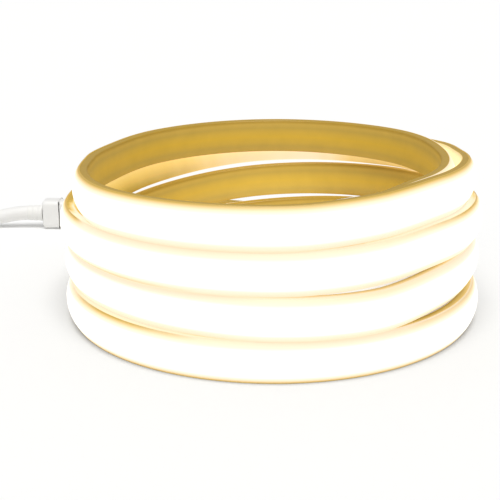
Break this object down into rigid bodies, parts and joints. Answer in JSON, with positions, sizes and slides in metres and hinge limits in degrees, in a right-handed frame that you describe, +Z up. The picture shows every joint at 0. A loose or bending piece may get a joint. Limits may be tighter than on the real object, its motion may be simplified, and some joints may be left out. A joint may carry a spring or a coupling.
{
  "type": "led strip light",
  "caption": "Flexible domed light strip wound into a standing coil, lit warm white, with a moulded connector, power lead and plug.",
  "frame": {"origin": "middle of the box round the strip, end cap, connector and strain relief, on the surface it stands on; the wound lead, its tie and the plug are left out of that box", "axes": "+Z up along the coil's axis, -X from the connector towards the lead and plug, +Y to the side where the strip runs off behind the coil"},
  "size_m": [0.2842, 0.1758, 0.0523],
  "materials": {
    "base_gold": "satin translucent golden flexible base, two supply wires showing as darker stripes",
    "diffuser_milky": "milky flexible dome, lit evenly from inside",
    "circuit_board": "yellow phosphor-coated flexible circuit board",
    "wire_copper": "bare stranded copper",
    "soft_white": "soft white moulded plastic, matt",
    "hard_white": "white moulded plastic, fine satin",
    "cord_white": "white flexible cord sheath, satin",
    "tie_grey": "pale plastic-coated tie, matt",
    "pin_metal": "nickel-plated brass"
  },
  "bodies": {
    "root": {"strip_base": "base_gold", "strip_diffuser": "diffuser_milky", "led_board": "circuit_board", "bus_wire_upper": "wire_copper", "bus_wire_lower": "wire_copper", "end_cap": "soft_white", "power_connector": "hard_white", "strain_relief": "soft_white", "power_cord": "cord_white", "cord_coil": "cord_white", "plug_lead": "cord_white", "cord_tie": "tie_grey", "plug_relief": "soft_white", "plug_body": "hard_white", "plug_pin_left": "pin_metal", "plug_pin_right": "pin_metal"}
  },
  "joints": []
}
